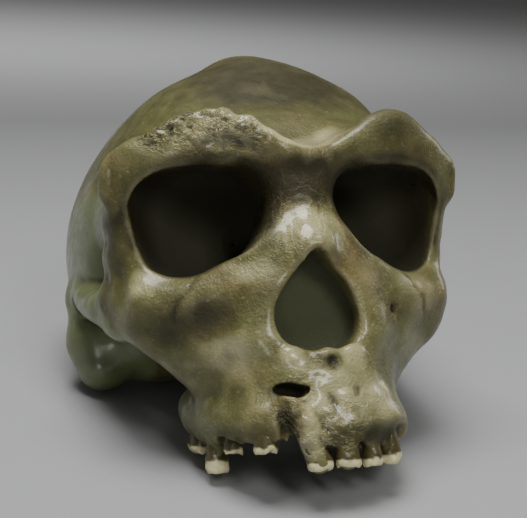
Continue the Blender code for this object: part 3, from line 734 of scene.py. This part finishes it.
def tooth_rings(name, x, y, tip, width, depth, around=40, levels=26):
    """Points and faces of a tooth: rounded four-sided rings from its root down to its tip.

    The rings swell towards the tip, close over it, and face along the row of teeth."""
    row = curve(TOOTH_ROW_PATH, 60)[:, :2]
    place = np.clip(np.argmin(np.hypot(row[:, 0] - abs(x), row[:, 1] - y)), 1, 58)
    along = (row[place + 1] - row[place - 1]) * (np.sign(x), 1)
    turn = np.arctan2(along[1], along[0])
    lean = ROOT_LEAN.get(name, (0, 0))[0] / ROOT_LENGTH
    down = np.linspace(0, 1, levels)
    height = np.append(tip + TOOTH_TOP * (1 - down), [tip + 0.1, tip + 0.4, tip + 0.6])
    swell = np.interp(down, (0, 0.4, 0.75, 0.93, 1), (0.7, 0.88, 1.0, 1.0, 0.86))
    size = np.append(swell, [0.62, 0.3, 0.02])
    angle = np.arange(around) * 2 * np.pi / around
    u = np.sign(np.cos(angle)) * np.abs(np.cos(angle)) ** 0.75 * width / 2
    v = np.sign(np.sin(angle)) * np.abs(np.sin(angle)) ** 0.75 * depth / 2
    a, b = size[:, None] * u, size[:, None] * v
    shift = lean * np.clip(height - tip - 3.5, 0, None)[:, None]
    points = np.stack([x + shift + a * np.cos(turn) - b * np.sin(turn),
                       y + a * np.sin(turn) + b * np.cos(turn),
                       height[:, None] + 0 * a], -1).reshape(-1, 3)
    rows = len(size)
    i, j = np.meshgrid(np.arange(rows - 1) * around, np.arange(around), indexing="ij")
    after = (j + 1) % around
    sides = np.stack([i + j, i + around + j, i + around + after, i + after], -1).reshape(-1, 4)
    ends = [list(range(around)), list(range(around * (rows - 1), around * rows))[::-1]]
    return points, sides.tolist() + ends


def tooth(name, x, y, tip, width, depth):
    """Tooth with an uneven surface, a broken tip and worn paint that shows pale enamel."""
    points, faces = tooth_rings(name, x, y, tip, width, depth)
    thing = mesh_object(name, points, faces)
    lift = 0.3 * noise(points, 2.8, 21) + 0.14 * noise(points, 1.1, 22)
    broken = ease(tip + 5 - points[:, 2], 0, 5) * (0.9 * noise(points * (1, 1, 0), 2.6, 24) + 0.3)
    pale = PALE_TIP.get(name, USUAL_PALE_TIP) + 1.2 * noise(points, 1.8, 23)
    worn = ease(tip + pale - points[:, 2], -0.3, 0.3)
    points = points + normals_of(thing) * lift[:, None]
    points[:, 2] += broken
    lay(thing, points)
    store(thing, "worn", worn)
    thing.data.shade_smooth()
    return thing


class Tree:
    """A node tree with short calls to add nodes and link them."""

    def __init__(self, tree):
        self.tree = tree

    def feed(self, socket, value):
        """Links a socket to another node's output, or gives it a fixed value."""
        if isinstance(value, bpy.types.NodeSocket):
            self.tree.links.new(value, socket)
        else:
            socket.default_value = value

    def add(self, kind, inputs=None, **settings):
        """New node with the given settings and inputs."""
        node = self.tree.nodes.new(kind)
        for name, value in settings.items():
            setattr(node, name, value)
        for name, value in (inputs or {}).items():
            self.feed(node.inputs[name], value)
        return node

    def attribute(self, name):
        """Number kept on the mesh under that name."""
        return self.add("ShaderNodeAttribute", attribute_name=name).outputs["Fac"]

    def noise(self, where, scale, detail=3.0, rough=0.55):
        """Noise texture; its scale is in waves a metre."""
        return self.add("ShaderNodeTexNoise", {"Vector": where, "Scale": scale, "Detail": detail,
                                               "Roughness": rough}).outputs["Fac"]

    def ramp(self, value, low, high, out_low=0.0, out_high=1.0):
        """Value that goes from low to high, brought into the range of the two outputs."""
        return self.add("ShaderNodeMapRange",
                        {"Value": value, "From Min": low, "From Max": high,
                         "To Min": out_low, "To Max": out_high}).outputs["Result"]

    def math(self, operation, a, b=0.0):
        """One sum with two numbers."""
        return self.add("ShaderNodeMath", {0: a, 1: b}, operation=operation).outputs[0]

    def mix(self, factor, a, b):
        """Colour a where the factor is 0 and colour b where it is 1."""
        node = self.tree.nodes.new("ShaderNodeMix")
        node.data_type = "RGBA"
        for index, value in ((0, factor), (6, a), (7, b)):
            self.feed(node.inputs[index], value)
        return node.outputs[2]

    def relief(self, height, strength, depth, under=None):
        """Bumps of that height texture, with a depth in metres, on top of others."""
        inputs = {"Height": height, "Strength": strength, "Distance": depth}
        if under is not None:
            inputs["Normal"] = under
        return self.add("ShaderNodeBump", inputs).outputs["Normal"]


def colour(red, green, blue):
    """Linear colour from the 0 to 255 values of a screen."""
    values = np.array([red, green, blue]) / 255
    linear = np.where(values <= 0.04045, values / 12.92, ((values + 0.055) / 1.055) ** 2.4)
    return (*linear.tolist(), 1.0)


# The pale olive also paints highlights and the dark wash also paints shade; the cavity colour is
# painted shade far back in the orbits.
OLIVE, OLIVE_DARK, OLIVE_PALE_AND_HIGHLIGHT = colour(95, 96, 58), colour(62, 60, 34), colour(192, 186, 144)
RUST, WASH_AND_PAINTED_SHADE = colour(112, 84, 52), colour(40, 37, 22)
PLASTER, PLASTER_DARK = colour(112, 121, 84), colour(92, 101, 70)
CAVITY_SHADE, NOSE_FILLING = colour(66, 66, 52), colour(80, 84, 64)
ENAMEL, STAINED = colour(212, 206, 164), colour(82, 73, 44)
FLOOR_GREY = colour(154, 156, 162)


def output_group(name, sockets):
    """Empty node group with the named outputs."""
    group = bpy.data.node_groups.new(name, "ShaderNodeTree")
    for socket, kind in sockets.items():
        group.interface.new_socket(name=socket, in_out="OUTPUT", socket_type=kind)
    return group


def bone_paint(t, blotch, where):
    """Olive paint with rusty blotches, dark mottling and pale specks, toned by wash, wear, painted
    shade and painted highlights.
    """
    mottle, speck, tone_and_painted_light = t.noise(where, 160, 5, 0.6), t.noise(where, 620, 3), t.attribute("tone_and_painted_light")
    rusty = t.math("MULTIPLY", t.attribute("grain"), t.ramp(blotch, 0.38, 0.64, 0.0, 0.36))
    bone = t.mix(rusty, OLIVE, RUST)
    bone = t.mix(t.ramp(mottle, 0.42, 0.66, 0.0, 0.45), bone, OLIVE_DARK)
    bone = t.mix(t.ramp(speck, 0.6, 0.74, 0.0, 0.25), bone, OLIVE_PALE_AND_HIGHLIGHT)
    # Pale paint for rubbed places and painted highlights, dark paint for wash and painted shade.
    bone = t.mix(t.ramp(tone_and_painted_light, 0, 1, 0.0, 0.75), bone, OLIVE_PALE_AND_HIGHLIGHT)
    return t.mix(t.ramp(tone_and_painted_light, 0, -1, 0.0, 0.85), bone, WASH_AND_PAINTED_SHADE)


def rubbed_edges_and_hollow_shade(t, skin):
    """Pale rubbed edges, and painted shade in the hollows of the mesh."""
    edge = t.attribute("edge")
    skin = t.mix(t.ramp(edge, 0.12, 0.8, 0.0, 0.25), skin, OLIVE_PALE_AND_HIGHLIGHT)
    # Painted shade in the hollows.
    return t.mix(t.ramp(edge, -0.06, -0.5, 0.0, 0.9), skin, WASH_AND_PAINTED_SHADE)


def wrinkles(t, where):
    """Winding wrinkles on the rough areas, where noise crosses its middle: veins, and the valleys
    between them, which get painted shade.
    """
    rough = t.attribute("rough")
    stretched = t.add("ShaderNodeVectorMath", {0: where, 1: (0.75, 1.0, 1.5)},
                      operation="MULTIPLY").outputs["Vector"]
    middle = t.math("ABSOLUTE", t.math("SUBTRACT", t.noise(stretched, 210, 3.5), 0.5))
    veins = t.math("MULTIPLY", rough, t.ramp(middle, 0.0, 0.045, 1.0, 0.0))
    valley_shade = t.math("MULTIPLY", rough, t.ramp(middle, 0.04, 0.11, 0.0, 0.75))
    return veins, valley_shade


def paint_group():
    """Colour, roughness, gloss and relief of the cast's paint and filling, with painted shade in the
    orbits and the abscess and the darker filling in the nose.
    """
    group = output_group("cast_paint", {"Color": "NodeSocketColor", "Roughness": "NodeSocketFloat",
                                        "Gloss": "NodeSocketFloat", "Normal": "NodeSocketVector"})
    t = Tree(group)
    where = t.add("ShaderNodeTexCoord").outputs["Object"]
    blotch, tone_and_painted_light, grain = t.noise(where, 38, 4), t.attribute("tone_and_painted_light"), t.attribute("grain")
    plaster = t.mix(t.ramp(blotch, 0.35, 0.65), PLASTER, PLASTER_DARK)
    skin = t.mix(t.attribute("filled"), bone_paint(t, blotch, where), plaster)
    skin = rubbed_edges_and_hollow_shade(t, skin)
    veins, valley_shade = wrinkles(t, where)
    # Painted shade in the valleys of the wrinkles; pale paint with a painted highlight on the veins.
    skin = t.mix(valley_shade, skin, WASH_AND_PAINTED_SHADE)
    skin = t.mix(t.math("MULTIPLY", veins, 0.7), skin, OLIVE_PALE_AND_HIGHLIGHT)
    inside_shade, nose = t.attribute("inside_shade"), t.attribute("nose")
    # Painted shade in the orbits and the abscess: darkest near the rim, lighter far back.
    skin = t.mix(inside_shade, skin, t.mix(t.attribute("deep"), WASH_AND_PAINTED_SHADE, CAVITY_SHADE))
    skin = t.mix(nose, skin, NOSE_FILLING)
    hidden = t.math("MAXIMUM", inside_shade, nose)
    rough = t.math("ADD", t.ramp(t.noise(where, 240, 4), 0.3, 0.7, 0.24, 0.46),
                   t.ramp(tone_and_painted_light, 0.8, -0.8, -0.1, 0.2))
    rough = t.math("MAXIMUM", rough, t.math("MULTIPLY", hidden, 0.9))
    fine = t.relief(t.math("MULTIPLY", grain, t.noise(where, 900, 4)), 0.7, 0.0006)
    waves = t.relief(t.math("MULTIPLY", grain, t.noise(where, 300, 3)), 0.4, 0.001, fine)
    surface = t.relief(veins, 0.8, 0.0012, waves)
    gloss = t.math("MULTIPLY", t.ramp(hidden, 0, 1, 1.0, 0.0), t.ramp(tone_and_painted_light, -0.5, 0.6, 0.05, 0.75))
    t.add("NodeGroupOutput", {"Color": skin, "Roughness": rough, "Gloss": gloss, "Normal": surface})
    return group


def cast_material():
    """Glossy paint of the whole cast."""
    coat = bpy.data.materials.new("cast_paint")
    coat.use_nodes = True
    t = Tree(coat.node_tree)
    shader = coat.node_tree.nodes["Principled BSDF"]
    look = t.add("ShaderNodeGroup", node_tree=paint_group())
    for name, socket in (("Color", "Base Color"), ("Roughness", "Roughness"),
                         ("Gloss", "Coat Weight"), ("Normal", "Normal")):
        t.feed(shader.inputs[socket], look.outputs[name])
    shader.inputs["Specular IOR Level"].default_value = 0.32
    shader.inputs["Coat Roughness"].default_value = 0.16
    return coat


def tooth_material():
    """Stained teeth whose paint is worn off to pale enamel at the tips."""
    coat = bpy.data.materials.new("tooth_enamel")
    coat.use_nodes = True
    t = Tree(coat.node_tree)
    shader = coat.node_tree.nodes["Principled BSDF"]
    where = t.add("ShaderNodeTexCoord").outputs["Object"]
    grain = t.noise(where, 700, 4)
    body = t.mix(t.ramp(grain, 0.35, 0.65), STAINED, OLIVE_DARK)
    tip = t.mix(t.ramp(grain, 0.42, 0.62, 0, 0.85), ENAMEL, OLIVE_PALE_AND_HIGHLIGHT)
    skin = t.mix(t.attribute("worn"), body, tip)
    rough = t.ramp(grain, 0.3, 0.7, 0.22, 0.4)
    surface = t.relief(grain, 0.4, 0.0004)
    for source, name in ((skin, "Base Color"), (rough, "Roughness"), (surface, "Normal")):
        t.feed(shader.inputs[name], source)
    return coat


def camera():
    """Camera with the photograph's viewpoint and framing."""
    yaw, pitch, roll = (np.radians(a) for a in (CAMERA_YAW, CAMERA_PITCH, CAMERA_ROLL))
    back = np.array([np.sin(yaw) * np.cos(pitch), -np.cos(yaw) * np.cos(pitch), np.sin(pitch)])
    right = np.array([np.cos(yaw), np.sin(yaw), 0])
    up = np.cross(back, right)
    right, up = (np.cos(roll) * right + np.sin(roll) * up, np.cos(roll) * up - np.sin(roll) * right)
    place = to_floor([np.array(CAMERA_TARGET) + back * CAMERA_DISTANCE])[0]
    matrix = np.eye(4)
    matrix[:3, :3] = np.stack([turn_to_floor(v) for v in (right, up, back)], 1)
    matrix[:3, 3] = place
    data = bpy.data.cameras.new("camera")
    data.sensor_width, data.lens = 36, FOCAL / PICTURE[0] * 36
    data.shift_x = (PICTURE[0] / 2 - PICTURE_CENTRE[0]) / PICTURE[0]
    data.shift_y = (PICTURE_CENTRE[1] - PICTURE[1] / 2) / PICTURE[0]
    data.clip_start, data.clip_end = 0.01, 50
    thing = bpy.data.objects.new("camera", data)
    thing.matrix_world = Matrix(matrix.tolist())
    bpy.context.scene.collection.objects.link(thing)
    bpy.context.scene.camera = thing


def softbox(name, place, size, watts, target=SKULL_MIDDLE):
    """Square area light that looks at a point, as a rule the middle of the skull."""
    data = bpy.data.lights.new(name, "AREA")
    data.size, data.energy, data.color = size, watts, LIGHT_TINT
    thing = bpy.data.objects.new(name, data)
    aim = (Vector(target) - Vector(place)).to_track_quat("-Z", "Y")
    thing.matrix_world = Matrix.Translation(place) @ aim.to_matrix().to_4x4()
    bpy.context.scene.collection.objects.link(thing)


def studio():
    """Pale floor, soft lights and a dim even surround."""
    bpy.ops.mesh.primitive_plane_add(size=FLOOR_SIZE, location=(0, 3, -FLOOR_GAP))
    floor = bpy.context.object
    floor.name = "floor"
    paper = bpy.data.materials.new("floor_paper")
    paper.use_nodes = True
    shader = paper.node_tree.nodes["Principled BSDF"]
    shader.inputs["Base Color"].default_value = FLOOR_GREY
    shader.inputs["Roughness"].default_value = 0.75
    floor.data.materials.append(paper)
    for light in LIGHTS:
        softbox(*light)
    world = bpy.data.worlds.new("surround")
    world.use_nodes = True
    background = world.node_tree.nodes["Background"]
    background.inputs["Color"].default_value = SURROUND_TINT
    background.inputs["Strength"].default_value = SURROUND_STRENGTH
    bpy.context.scene.world = world


camera()
studio()
skull_piece = cranium()
skull_piece.data.materials.append(cast_material())
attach(skull_piece, "root")
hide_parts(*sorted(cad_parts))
enamel = tooth_material()
for tooth_name, sizes in TEETH.items():
    piece = tooth(tooth_name, *sizes)
    piece.data.materials.append(enamel)
    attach(piece, "root")
